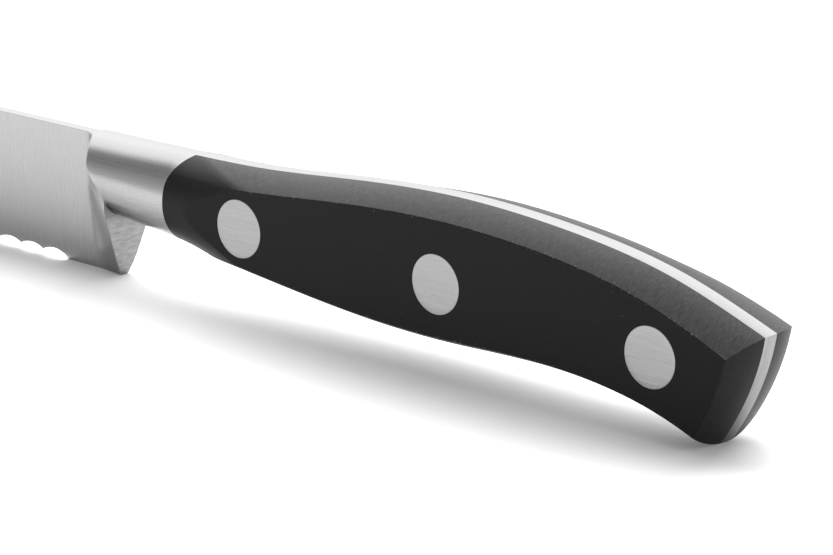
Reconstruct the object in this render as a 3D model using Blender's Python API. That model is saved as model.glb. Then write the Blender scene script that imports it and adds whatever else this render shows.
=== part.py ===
"""Tomato knife: a one-piece forging, two grip scales and three cutler's rivets of two halves each.

The knife stands on the plain heel of its edge and on the lower corner of its butt, spine up, in metres.
The heel of the edge is x = 0 in the knife's own coordinates: the blade runs to -X, the grip to +X, and the
tang lies in the plane y = 0. An empty carries all pieces and puts the knife's middle over the world's origin.
"""

import math

import bmesh
import bpy
import numpy as np

# Fits
CLEARANCE = 0.0003
HEAD_SINK = 0.00005

# Blade: a flat taper from spine to edge that ends in a point
BLADE_LENGTH = 0.130
BLADE_HEIGHT = 0.0197
SPINE_FALL = 0.0012
SPINE_CURVE_LENGTH = 0.055
EDGE_CURVE_LENGTH = 0.034
TIP_HEIGHT = 0.0062
TIP_BLUNT = 0.0008
SPINE_THICKNESS = 0.0019
TIP_THICKNESS = 0.0010
EDGE_THICKNESS = 0.0005

# Serration: hollow scallops ground from the right side, so the left face stays flat
PLAIN_HEEL_LENGTH = 0.01125
PLAIN_TIP_LENGTH = 0.0050
SCALLOP_RUN_IN = 0.00035
SCALLOP_PITCH = 0.0046
SCALLOP_RADIUS = 0.00435
SCALLOP_HEIGHT = 0.0013
GRIND_ANGLE = math.radians(70)

# Bolster and finger guard
HEEL_THICKNESS = 0.0011
GUARD_LEAN = 0.15
GUARD_LAND = 0.0004
GUARD_FILLET = 0.0006
RAMP_LENGTH = 0.0045
RAMP_LEAN = 0.14
RAMP_SWELL = 1.35
BOLSTER_FRONT = 0.0012
BOLSTER_TOP_REACH = 0.0032
BOLSTER_TOP_CURVE = 2.5
NECK_WIDTH = 0.0116
NECK_FLOOR = 0.0092

# Tang, joint of bolster and scales, and rivets from front to rear
RIVET_NAMES = ("rivet_front", "rivet_middle", "rivet_rear")
TANG_THICKNESS = 0.0023
JOINT_AT = 0.0140
JOINT_ARC_HEIGHT = 0.0160
JOINT_ARC_RADIUS = 0.0055
JOINT_ARC_ANGLE = math.radians(75)
RIVET_FROM_JOINT = 0.0151
RIVET_PITCH = 0.0351
BUTT_FROM_RIVET = 0.0136
MIDDLE_RIVET_DROP = 0.0007
RIVET_HEAD_DIAMETER = 0.0080
RIVET_HEAD_THICKNESS = 0.0015
RIVET_TUBE_DIAMETER = 0.0050
RIVET_TUBE_WALL = 0.0010
RIVET_END_GAP = 0.0010

# Grip: heights of its top and bottom lines above the ground, from the heel to the butt
GRIP_THICKNESS = 0.0128
TOP_AT_HEEL = 0.0199
TOP_AT_JOINT = 0.0202
TOP_AT_FRONT_RIVET = 0.0207
TOP_BEFORE_MIDDLE = 0.0223
TOP_AT_MIDDLE_RIVET = 0.0232
TOP_BEHIND_MIDDLE = 0.0223
TOP_AT_REAR_RIVET = 0.0194
TOP_AT_BUTT = 0.0149
BOTTOM_AT_JOINT = 0.0077
BOTTOM_AT_FRONT_RIVET = 0.0062
BOTTOM_BEFORE_MIDDLE = 0.0045
BOTTOM_AT_MIDDLE_RIVET = 0.0040
BOTTOM_BEHIND_MIDDLE = 0.0045
BOTTOM_AT_REAR_RIVET = 0.0021
BUTT_UNDERCUT = 0.0065
BUTT_BULGE = 0.0010
BUTT_CROWN = 0.0017
CROWN_AT_FRONT_RIVET = 0.0093
CROWN_AT_MIDDLE_RIVET = 0.0108
CROWN_AT_BUTT = 0.0094
FACET_BLEND = 0.0180
RIGHT_GRIND_LENGTH = 0.0210
RIGHT_GRIND_CURVE = 1.5
RIGHT_TOP_FLATTENING = 0.0060
RIGHT_BOTTOM_ROUNDING = 0.0020

# Colours of the bare steel, the rivets and the black plastic
STEEL_COLOUR = (0.62, 0.62, 0.62)
RIVET_COLOUR = (0.50, 0.50, 0.50)
PLASTIC_COLOUR = (0.02, 0.02, 0.02)

# Mesh fineness
CROWN_STEPS = 5
SIDE_STEPS = 4
BLADE_RINGS = 15
RAMP_RINGS = 3
GRIP_RINGS = 26
BUTT_COLUMNS = 6
SCALLOP_STEPS = 6
JOINT_ARC_STEPS = 8
ROUND_STEPS = 28
ROUND_CREASE = math.radians(65)
SHARP_ANGLE = math.radians(25)
TIP_CROWDING = 1.5
WELD_DISTANCE = 1e-6
CUTTER_MARGIN = 0.010

# Places that follow from the sizes
RIVET_X = [JOINT_AT + RIVET_FROM_JOINT + i * RIVET_PITCH for i in range(len(RIVET_NAMES))]
BETWEEN_RIVETS = [x + RIVET_PITCH / 2 for x in RIVET_X[:-1]]
BUTT_X = RIVET_X[-1] + BUTT_FROM_RIVET
HALF_GRIP = GRIP_THICKNESS / 2
HALF_NECK = NECK_WIDTH / 2
NECK_MIDDLE = (TOP_AT_HEEL + NECK_FLOOR) / 2
RAMP_END = RAMP_LENGTH + RAMP_LEAN * TOP_AT_HEEL
FLANK_INDEX = CROWN_STEPS + SIDE_STEPS
OUTLINE_POINTS = 2 * CROWN_STEPS + SIDE_STEPS + 1


def smooth(t):
    """Ease from 0 to 1 with level ends."""
    t = np.clip(t, 0.0, 1.0)
    return t * t * (3.0 - 2.0 * t)


def natural_spline(points):
    """Return the natural cubic spline through (x, value) points as a function of x."""
    xs, values = np.array(points).T
    gaps = np.diff(xs)
    slopes = np.diff(values) / gaps
    last = len(xs) - 1
    system = np.eye(last + 1)
    load = np.zeros(last + 1)
    for i in range(1, last):
        system[i, i - 1:i + 2] = gaps[i - 1], 2 * (gaps[i - 1] + gaps[i]), gaps[i]
        load[i] = 6 * (slopes[i] - slopes[i - 1])
    bend = np.linalg.solve(system, load)

    def value_at(x):
        i = int(np.clip(np.searchsorted(xs, x) - 1, 0, last - 1))
        a = (xs[i + 1] - x) / gaps[i]
        b = 1.0 - a
        curve = (a**3 - a) * bend[i] + (b**3 - b) * bend[i + 1]
        return a * values[i] + b * values[i + 1] + curve * gaps[i] ** 2 / 6

    return value_at


grip_top = natural_spline([
    (0.0, TOP_AT_HEEL),
    (JOINT_AT, TOP_AT_JOINT),
    (RIVET_X[0], TOP_AT_FRONT_RIVET),
    (BETWEEN_RIVETS[0], TOP_BEFORE_MIDDLE),
    (RIVET_X[1], TOP_AT_MIDDLE_RIVET),
    (BETWEEN_RIVETS[1], TOP_BEHIND_MIDDLE),
    (RIVET_X[2], TOP_AT_REAR_RIVET),
    (BUTT_X, TOP_AT_BUTT),
])
grip_bottom = natural_spline([
    (0.0, NECK_FLOOR),
    (JOINT_AT, BOTTOM_AT_JOINT),
    (RIVET_X[0], BOTTOM_AT_FRONT_RIVET),
    (BETWEEN_RIVETS[0], BOTTOM_BEFORE_MIDDLE),
    (RIVET_X[1], BOTTOM_AT_MIDDLE_RIVET),
    (BETWEEN_RIVETS[1], BOTTOM_BEHIND_MIDDLE),
    (RIVET_X[2], BOTTOM_AT_REAR_RIVET),
    (BUTT_X - BUTT_UNDERCUT, 0.0),
])
grip_crown = natural_spline([
    (RIVET_X[0], CROWN_AT_FRONT_RIVET),
    (RIVET_X[1], CROWN_AT_MIDDLE_RIVET),
    (BUTT_X, CROWN_AT_BUTT),
])


def crown_half_widths(x, side):
    """Half widths of the ovals that the grip's upper and lower crowns are cut from, on one side.

    They swell from the neck's to the grip's. At the butt the right side is flatter above and rounder below.
    """
    width = HALF_NECK + (grip_crown(x) - HALF_NECK) * smooth((x - JOINT_AT) / FACET_BLEND)
    grind = max(0.0, 1.0 - (BUTT_X - x) / RIGHT_GRIND_LENGTH) ** RIGHT_GRIND_CURVE * (side > 0)
    return width + RIGHT_TOP_FLATTENING * grind, width - RIGHT_BOTTOM_ROUNDING * grind


def crown_rise(half_width):
    """Heights of a crown's points from its ridge to its crease, as cosines on its oval."""
    crease = math.asin(min(math.sin(ROUND_CREASE), HALF_GRIP / half_width))
    return np.cos(np.linspace(0.0, crease, CROWN_STEPS + 1))


def oval_outline(top, bottom, upper, lower):
    """Half a section, top to bottom: an oval of two half widths, cut flat where it is wider than the grip."""
    over = crown_rise(upper)
    under = -crown_rise(lower)[::-1]
    side = np.linspace(over[-1], under[0], SIDE_STEPS + 1)[1:-1]
    rise = np.concatenate([over, side, under])
    width = np.where(rise > 0.0, upper, lower)
    y = np.minimum(width * np.sqrt(np.clip(1.0 - rise**2, 0.0, None)), HALF_GRIP)
    z = (top + bottom) / 2 + rise * (top - bottom) / 2
    return y, z


def guard_outline():
    """Half the bolster's section: the neck's oval with straight flanks down to the heel of the edge."""
    y, z = oval_outline(TOP_AT_HEEL, NECK_FLOOR, HALF_NECK, HALF_NECK)
    down = np.linspace(0.0, 1.0, CROWN_STEPS)
    y[FLANK_INDEX:-1] = y[FLANK_INDEX] + (HEEL_THICKNESS / 2 - y[FLANK_INDEX]) * down
    z[FLANK_INDEX:-1] = z[FLANK_INDEX] * (1.0 - down)
    z[-1] = 0.0
    return y, z


def spine_height(x):
    """Height of the spine over a point of the blade: nearly straight, then a curve down to the tip."""
    straight = BLADE_HEIGHT - SPINE_FALL * -x / BLADE_LENGTH
    drop = BLADE_HEIGHT - SPINE_FALL - TIP_HEIGHT - TIP_BLUNT
    return straight - drop * max(0.0, 1.0 - (x + BLADE_LENGTH) / SPINE_CURVE_LENGTH) ** 2


def edge_height(x):
    """Height of the edge line before the scallops are ground: straight, then a curve up to the tip."""
    return TIP_HEIGHT * max(0.0, 1.0 - (x + BLADE_LENGTH) / EDGE_CURVE_LENGTH) ** 2


def blade_outline(x, levels):
    """Half the blade's section: a flat spine and a face that tapers to the edge."""
    spine = (SPINE_THICKNESS + (TIP_THICKNESS - SPINE_THICKNESS) * -x / BLADE_LENGTH) / 2
    edge = EDGE_THICKNESS / 2
    y = edge + (spine - edge) * levels
    y[0] = y[-1] = 0.0
    z = edge_height(x) + (spine_height(x) - edge_height(x)) * levels
    return y, z


def blade_rings(levels):
    """Rings of the blade from the tip to the bolster, closer together at the tip."""
    rings = []
    for t in np.linspace(0.0, 1.0, BLADE_RINGS, endpoint=False):
        x = -BLADE_LENGTH + (BLADE_LENGTH - RAMP_END) * t**TIP_CROWDING
        y, z = blade_outline(x, levels)
        rings.append((np.full(OUTLINE_POINTS, x), y, z))
    return rings


def bolster_rings(levels):
    """Rings that flare from the blade's face to the bolster's front edge and the guard's rear facet."""
    y_full, z_full = guard_outline()
    facet = GUARD_LEAN * z_full
    reach = np.clip((z_full - NECK_MIDDLE) / (TOP_AT_HEEL - NECK_MIDDLE), 0.0, 1.0) ** BOLSTER_TOP_CURVE
    front = -BOLSTER_FRONT - BOLSTER_TOP_REACH * reach
    rise = smooth((z_full - NECK_FLOOR) / (NECK_MIDDLE - NECK_FLOOR))
    x_full = facet - GUARD_LAND + (front - facet + GUARD_LAND) * rise
    x_start = -RAMP_LENGTH - RAMP_LEAN * z_full
    y_start, z_start = blade_outline(-RAMP_END, levels)
    rings = []
    for t in np.linspace(0.0, 1.0, RAMP_RINGS + 1):
        flare = t**RAMP_SWELL
        rings.append((
            x_start + (x_full - x_start) * t,
            y_start + (y_full - y_start) * flare,
            z_start + (z_full - z_start) * flare,
        ))
    rings.append((facet, y_full, z_full))
    return rings


def grip_rings(side):
    """Rings of the neck and the grip, leaning with the guard at the front and with the butt at the rear."""
    rings = []
    first = GUARD_LEAN * NECK_MIDDLE + GUARD_FILLET
    for x in np.linspace(first, BUTT_X, GRIP_RINGS):
        to_butt = max(0.0, (x - RIVET_X[1]) / (BUTT_X - RIVET_X[1])) ** 2
        bottom_x = x - BUTT_UNDERCUT * to_butt
        y, z = oval_outline(grip_top(x), grip_bottom(bottom_x), *crown_half_widths(x, side))
        lean = GUARD_LEAN * (1.0 - smooth((x - first) / JOINT_AT))
        rings.append((x + lean * (z - NECK_MIDDLE) + to_butt * butt_offset(y, z), y, z))
    return rings


def butt_offset(y, z):
    """Place of the butt's end before its top corner: undercut, bulging in side view and crowned in plan."""
    height = np.clip(z / TOP_AT_BUTT, 0.0, 1.0)
    undercut = BUTT_UNDERCUT * (height - 1.0)
    bulge = 4.0 * BUTT_BULGE * height * (1.0 - height)
    return undercut + bulge - BUTT_CROWN * (y / HALF_GRIP) ** 2


def knife_body():
    """Mesh of the whole knife as one body: rings bridged from the tip to the butt, with both ends closed.

    Its faces are triangles, so that each is flat where the cutters meet it.
    """
    _, heights = guard_outline()
    levels = heights / heights[0]
    levels[1] = 1.0
    blade = blade_rings(levels) + bolster_rings(levels)
    body = bmesh.new()
    loops = []
    for left, right in zip(blade + grip_rings(-1), blade + grip_rings(1)):
        x, y, z = left
        down = [body.verts.new(point) for point in zip(x, -y, z)]
        x, y, z = (values[-2:0:-1] for values in right)
        up = [body.verts.new(point) for point in zip(x, y, z)]
        loops.append(down + up)
    count = len(loops[0])
    for fore, aft in zip(loops, loops[1:]):
        for i in range(count):
            j = (i + 1) % count
            body.faces.new((fore[i], fore[j], aft[j], aft[i]))
    body.faces.new(loops[0][::-1])
    close_butt(body, loops[-1])
    bmesh.ops.recalc_face_normals(body, faces=body.faces)
    bmesh.ops.triangulate(body, faces=body.faces)
    return body


def close_butt(body, loop):
    """Close the butt with a crowned end face: rows of points from the left outline to the right one."""
    last = OUTLINE_POINTS - 1
    rows = [[loop[0]] * (BUTT_COLUMNS + 1)]
    for i in range(1, last):
        inner = []
        for t in np.linspace(0.0, 1.0, BUTT_COLUMNS + 1)[1:-1]:
            point = loop[i].co.lerp(loop[-i].co, t)
            point.x = BUTT_X + butt_offset(point.y, point.z)
            inner.append(body.verts.new(point))
        rows.append([loop[i], *inner, loop[-i]])
    rows.append([loop[last]] * (BUTT_COLUMNS + 1))
    for upper, lower in zip(rows, rows[1:]):
        for j in range(BUTT_COLUMNS):
            corners = dict.fromkeys((upper[j], upper[j + 1], lower[j + 1], lower[j]))
            body.faces.new(list(corners))


def prism(outline, y_low, y_high, shear=0.0):
    """Mesh of a side-view outline carried from y_low to y_high, rising by shear for each metre of y."""
    solid = bmesh.new()
    near = [solid.verts.new((x, y_low, z + shear * y_low)) for x, z in outline]
    far = [solid.verts.new((x, y_high, z + shear * y_high)) for x, z in outline]
    solid.faces.new(near)
    solid.faces.new(far[::-1])
    for i in range(len(outline)):
        j = (i + 1) % len(outline)
        solid.faces.new((near[j], near[i], far[i], far[j]))
    bmesh.ops.recalc_face_normals(solid, faces=solid.faces)
    return solid


def turned(profile):
    """Mesh turned about the Y axis from (radius, y) points that start and end on the axis."""
    solid = bmesh.new()
    points = [solid.verts.new((radius, y, 0.0)) for radius, y in profile]
    edges = [solid.edges.new(pair) for pair in zip(points, points[1:])]
    bmesh.ops.spin(
        solid, geom=points + edges, axis=(0, 1, 0), cent=(0, 0, 0), angle=2 * math.pi, steps=ROUND_STEPS,
        use_merge=True,
    )
    bmesh.ops.remove_doubles(solid, verts=solid.verts, dist=WELD_DISTANCE)
    bmesh.ops.recalc_face_normals(solid, faces=solid.faces)
    return solid


def scallop_outline():
    """Side view of the metal that the grinding wheel takes: arcs over the edge line, closed below."""
    first = -PLAIN_HEEL_LENGTH - SCALLOP_RUN_IN - SCALLOP_PITCH / 2
    room = BLADE_LENGTH + first - PLAIN_TIP_LENGTH
    count = 1 + int(room / SCALLOP_PITCH)
    half = math.asin(SCALLOP_PITCH / 2 / SCALLOP_RADIUS)
    points = [(-PLAIN_HEEL_LENGTH, -CUTTER_MARGIN), (-PLAIN_HEEL_LENGTH, 0.0)]
    for i in range(count):
        for turn in np.linspace(half, -half, SCALLOP_STEPS + 1):
            x = first - i * SCALLOP_PITCH + SCALLOP_RADIUS * math.sin(turn)
            points.append((x, edge_height(x) + SCALLOP_HEIGHT - SCALLOP_RADIUS * (1.0 - math.cos(turn))))
    points.append((points[-1][0], -CUTTER_MARGIN))
    return points


def pocket_outline(gap):
    """Side view of the room behind the bolster: an upright joint that arcs back at the top."""
    radius = JOINT_ARC_RADIUS - gap
    high = TOP_AT_MIDDLE_RIVET + CUTTER_MARGIN
    points = [(JOINT_AT + gap, -CUTTER_MARGIN)]
    for a in np.linspace(0.0, JOINT_ARC_ANGLE, JOINT_ARC_STEPS + 1):
        points.append((
            JOINT_AT + gap + radius * (1.0 - math.cos(a)),
            JOINT_ARC_HEIGHT + radius * math.sin(a),
        ))
    behind = BUTT_X + CUTTER_MARGIN
    points += [(points[-1][0], high), (behind, high), (behind, -CUTTER_MARGIN)]
    return points


def principled(name, colour, roughness, metallic):
    """Material with one Principled shader."""
    material = bpy.data.materials.new(name)
    material.use_nodes = True
    shader = material.node_tree.nodes["Principled BSDF"]
    shader.inputs["Base Color"].default_value = (*colour, 1.0)
    shader.inputs["Roughness"].default_value = roughness
    shader.inputs["Metallic"].default_value = metallic
    material.diffuse_color = (*colour, 1.0)
    return material


def add_object(name, solid, frame, material=None):
    """Make an object of a bmesh under the knife's frame; without a material it is a cutter."""
    mesh = bpy.data.meshes.new(name)
    solid.to_mesh(mesh)
    solid.free()
    mesh.shade_smooth()
    mesh.set_sharp_from_angle(angle=SHARP_ANGLE)
    piece = bpy.data.objects.new(name, mesh)
    bpy.context.collection.objects.link(piece)
    piece.parent = frame
    if material:
        mesh.materials.append(material)
    else:
        piece.hide_render = True
        piece.display_type = "WIRE"
    return piece


def cut(piece, cutter, operation="DIFFERENCE"):
    """Add an exact Boolean to a piece."""
    boolean = piece.modifiers.new(cutter.name, "BOOLEAN")
    boolean.operation = operation
    boolean.solver = "EXACT"
    boolean.object = cutter


def rivet_height(i):
    """Height of a rivet: on the middle line of the grip, the middle one a little lower."""
    middle = (grip_top(RIVET_X[i]) + grip_bottom(RIVET_X[i])) / 2
    is_middle = i == len(RIVET_NAMES) // 2
    return middle - MIDDLE_RIVET_DROP * is_middle


def at_rivet(piece, i, side=-1):
    """Place a turned piece at a rivet, its head on the left (-1) or the right (1) side."""
    piece.location = (RIVET_X[i], 0.0, rivet_height(i))
    piece.rotation_euler = (0.0, 0.0, 0.0 if side < 0 else math.pi)
    return piece


def head_half():
    """Rivet half with the tube: a flat head and a tube that runs through the tang to the other head."""
    head = RIVET_HEAD_DIAMETER / 2
    outer = RIVET_TUBE_DIAMETER / 2
    inner = outer - RIVET_TUBE_WALL
    face = -HALF_GRIP + HEAD_SINK
    seat = face + RIVET_HEAD_THICKNESS
    end = -seat - RIVET_END_GAP
    return turned([
        (0.0, face), (head, face), (head, seat), (outer, seat),
        (outer, end), (inner, end), (inner, seat), (0.0, seat),
    ])


def pin_half():
    """Rivet half with the pin: a flat head and a pin that fills the tube."""
    head = RIVET_HEAD_DIAMETER / 2
    pin = RIVET_TUBE_DIAMETER / 2 - RIVET_TUBE_WALL - CLEARANCE
    face = -HALF_GRIP + HEAD_SINK
    seat = face + RIVET_HEAD_THICKNESS
    end = -seat - RIVET_END_GAP
    return turned([(0.0, face), (head, face), (head, seat), (pin, seat), (pin, end), (0.0, end)])


def rivet_room():
    """Cutter for a rivet: a seat for each head and a bore for the tube."""
    head = RIVET_HEAD_DIAMETER / 2 + CLEARANCE
    bore = RIVET_TUBE_DIAMETER / 2 + CLEARANCE
    outside = HALF_GRIP + CUTTER_MARGIN
    seat = HALF_GRIP - HEAD_SINK - RIVET_HEAD_THICKNESS - CLEARANCE
    return turned([
        (0.0, -outside), (head, -outside), (head, -seat), (bore, -seat),
        (bore, seat), (head, seat), (head, outside), (0.0, outside),
    ])


def build_forging(frame, rooms):
    """The forging: the knife's body with ground scallops, pockets beside the tang and rivet bores."""
    steel = principled("forged_steel", STEEL_COLOUR, 0.3, 1.0)
    body = add_object("blade_forging", knife_body(), frame, steel)
    wheel = add_object(
        "scallop_cutter",
        prism(scallop_outline(), -CUTTER_MARGIN, CUTTER_MARGIN, math.tan(GRIND_ANGLE)),
        frame,
    )
    wheel.location.z = math.tan(GRIND_ANGLE) * EDGE_THICKNESS / 2
    cut(body, wheel)
    for side, name in ((-1, "pocket_left"), (1, "pocket_right")):
        walls = sorted((side * TANG_THICKNESS / 2, side * (HALF_GRIP + CUTTER_MARGIN)))
        cut(body, add_object(name, prism(pocket_outline(0.0), *walls), frame))
    for room in rooms:
        cut(body, room)


def build_scale(name, side, frame, rooms):
    """A grip scale: the knife's body on one side of the tang, with seats for the rivets."""
    plastic = principled(name + "_plastic", PLASTIC_COLOUR, 0.45, 0.0)
    scale = add_object(name, knife_body(), frame, plastic)
    walls = sorted((side * (TANG_THICKNESS / 2 + CLEARANCE), side * (HALF_GRIP + CUTTER_MARGIN)))
    cut(scale, add_object(name + "_block", prism(pocket_outline(CLEARANCE), *walls), frame), "INTERSECT")
    for room in rooms:
        cut(scale, room)


def build_rivet(name, i, frame):
    """A rivet: the half with the tube from the left and the half with the pin from the right."""
    for half, solid, side in (("head", head_half(), -1), ("pin", pin_half(), 1)):
        steel = principled(f"{name}_{half}_steel", RIVET_COLOUR, 0.35, 1.0)
        at_rivet(add_object(f"{name}_{half}", solid, frame, steel), i, side)


def main():
    """Build the knife in an empty scene."""
    for old in list(bpy.data.objects):
        bpy.data.objects.remove(old, do_unlink=True)
    frame = bpy.data.objects.new("knife_frame", None)
    bpy.context.collection.objects.link(frame)
    frame.location.x = (BLADE_LENGTH - BUTT_X) / 2
    rooms = []
    for i, name in enumerate(RIVET_NAMES):
        rooms.append(at_rivet(add_object(name + "_room", rivet_room(), frame), i))
    build_forging(frame, rooms)
    build_scale("scale_left", -1, frame, rooms)
    build_scale("scale_right", 1, frame, rooms)
    for i, name in enumerate(RIVET_NAMES):
        build_rivet(name, i, frame)


main()
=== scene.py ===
"""Looks of a tomato knife: a ground steel forging, two black grip scales and three flush rivets.

Every shape is worked out in the knife's own coordinates, in millimetres from the heel of the edge:
x runs to the butt, y to the right side and z up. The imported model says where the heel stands.
Angles in the fields are in degrees.
"""

import logging
import math
from collections.abc import Callable, Sequence
from dataclasses import dataclass, field
from enum import Enum
from functools import cached_property

import bmesh
import bpy
import numpy as np
from mathutils import Matrix, Vector


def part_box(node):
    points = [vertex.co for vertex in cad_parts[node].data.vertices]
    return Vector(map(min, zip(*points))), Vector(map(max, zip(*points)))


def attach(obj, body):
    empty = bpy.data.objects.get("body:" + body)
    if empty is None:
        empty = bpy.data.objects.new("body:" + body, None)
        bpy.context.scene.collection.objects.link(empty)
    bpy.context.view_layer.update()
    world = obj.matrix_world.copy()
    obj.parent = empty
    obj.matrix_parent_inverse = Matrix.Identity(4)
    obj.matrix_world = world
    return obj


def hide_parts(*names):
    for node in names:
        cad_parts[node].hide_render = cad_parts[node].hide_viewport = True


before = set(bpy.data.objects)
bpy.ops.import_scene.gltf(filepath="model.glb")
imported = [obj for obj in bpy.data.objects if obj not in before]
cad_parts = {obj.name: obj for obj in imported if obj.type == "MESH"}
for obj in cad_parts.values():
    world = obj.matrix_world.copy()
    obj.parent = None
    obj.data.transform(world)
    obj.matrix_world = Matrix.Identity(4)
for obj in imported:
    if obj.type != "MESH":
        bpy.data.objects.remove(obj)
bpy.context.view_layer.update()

Curve = Callable[[np.ndarray], np.ndarray]
log = logging.getLogger("knife")

MM = 0.001
BLADE_LENGTH = 130.0
FORGING_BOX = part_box("blade_forging")
HEEL_X = FORGING_BOX[0].x + BLADE_LENGTH * MM
HEEL = np.array([HEEL_X, 0.0, 0.0])
BUTT_X = (FORGING_BOX[1].x - HEEL_X) / MM
RIVET_NAMES = ("rivet_front", "rivet_middle", "rivet_rear")
QUARTER_TURN = math.pi / 2
WELD_DISTANCE = 1e-6
NO_LENGTH = 1e-9
# Nearly all the values of a noise lie in this band.
NOISE_BAND = {"From Min": 0.3, "From Max": 0.7}


class Side(Enum):
    """Side of the tang, as the sign of y."""

    LEFT = -1
    RIGHT = 1


class Finish(Enum):
    """Finishes on the forging, as the number of the material slot that carries each."""

    BLADE = 0
    NECK = 1
    GUARD = 2
    TANG = 3
    BUTT = 4


def rivet_place(name: str) -> tuple[float, float, float]:
    """Find a rivet's axis (x and z) and its head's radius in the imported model, in millimetres."""
    low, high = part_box(name + "_head")
    x, z = (low.x + high.x) / 2 - HEEL_X, (low.z + high.z) / 2
    return x / MM, z / MM, (high.x - low.x) / 2 / MM


def smooth(t: np.ndarray) -> np.ndarray:
    """Ease from 0 to 1 with level ends: 3 t squared less 2 t cubed."""
    t = np.clip(t, 0.0, 1.0)
    return t * t * (3.0 - 2.0 * t)


def round_at(height: np.ndarray) -> np.ndarray:
    """Half width of a circle of radius 1: the root of 1 less the height squared, or 0 beyond it."""
    return np.sqrt(np.clip(1.0 - height * height, 0.0, None))


def steps_to(count: int) -> np.ndarray:
    """Shares of a way after each of a number of even steps, as a column."""
    return np.linspace(0.0, 1.0, count + 1)[1:, None]


def soft_minimum(a: np.ndarray, b: np.ndarray | float, width: float) -> np.ndarray:
    """Take the lesser of a and b; within width of each other a parabola rounds off their corner."""
    near = np.clip(1.0 - np.abs(a - b) / width, 0.0, None)
    return np.minimum(a, b) - near * near * width / 4


def natural_spline(xs: Sequence[float], values: Sequence[float]) -> Curve:
    """Make the natural cubic spline through knots, whose bend is zero at both ends.

    Args:
        xs: Places of the knots, rising.
        values: Values at the knots.

    Returns:
        A function of an array of x.
    """
    xs, values = np.array(xs), np.array(values)
    gaps = np.diff(xs)
    rows = np.arange(1, len(xs) - 1)
    system = np.eye(len(xs))
    system[rows, rows - 1], system[rows, rows + 1] = gaps[:-1], gaps[1:]
    system[rows, rows] = 2 * (gaps[:-1] + gaps[1:])
    load = np.zeros(len(xs))
    load[1:-1] = 6 * np.diff(np.diff(values) / gaps)
    bend = np.linalg.solve(system, load)

    def value_at(x: np.ndarray) -> np.ndarray:
        """Cubic of the span that x falls in."""
        i = np.clip(np.searchsorted(xs, x) - 1, 0, len(gaps) - 1)
        a = (xs[i + 1] - x) / gaps[i]
        b = 1.0 - a
        curve = (a**3 - a) * bend[i] + (b**3 - b) * bend[i + 1]
        return a * values[i] + b * values[i + 1] + curve * gaps[i] ** 2 / 6

    return value_at


# The next three functions make rows along a way, for all columns at once, without the way's start.


def span(start: np.ndarray, end: np.ndarray, steps: int) -> np.ndarray:
    """Rows on the straight way from start to end."""
    return start + (end - start) * steps_to(steps)[..., None]


def lean_on(start: np.ndarray, corner: np.ndarray, end: np.ndarray, steps: int) -> np.ndarray:
    """Rows round a corner on the parabola (1 - t)^2 start + 2 t (1 - t) corner + t^2 end."""
    t = steps_to(steps)[..., None]
    return (1.0 - t) ** 2 * start + 2.0 * t * (1.0 - t) * corner + t * t * end


def bend_over(start: np.ndarray, set_out: np.ndarray, end: np.ndarray, arrive: np.ndarray,
              steps: int) -> np.ndarray:
    """Rows on the cubic that sets out and arrives in given ways, as fast as the straight way.

    Args:
        start: Points to set out from.
        set_out: Ways of length 1 at the start.
        end: Points to arrive at.
        arrive: Ways of length 1 at the end.
        steps: Rows to make.

    Returns:
        Rows of points.
    """
    t = steps_to(steps)[..., None]
    length = np.linalg.norm(end - start, axis=-1, keepdims=True)
    pull = t * (1.0 - t) ** 2 * set_out - t * t * (1.0 - t) * arrive
    return start + (end - start) * smooth(t) + length * pull


def unit(way: np.ndarray) -> np.ndarray:
    """Way of length 1, for each column."""
    return way / np.maximum(np.linalg.norm(way, axis=-1, keepdims=True), NO_LENGTH)


def towards(start: np.ndarray, end: np.ndarray, distance: np.ndarray) -> np.ndarray:
    """Go a distance from start towards end, for each column."""
    return start + unit(end - start) * distance[:, None]


def bridge(start: np.ndarray, end: np.ndarray, steps: int) -> np.ndarray:
    """Grid whose columns go straight across from one row of points to another."""
    across = np.linspace(0.0, 1.0, steps + 1)[None, :, None]
    return start[:, None] + (end - start)[:, None] * across


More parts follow.
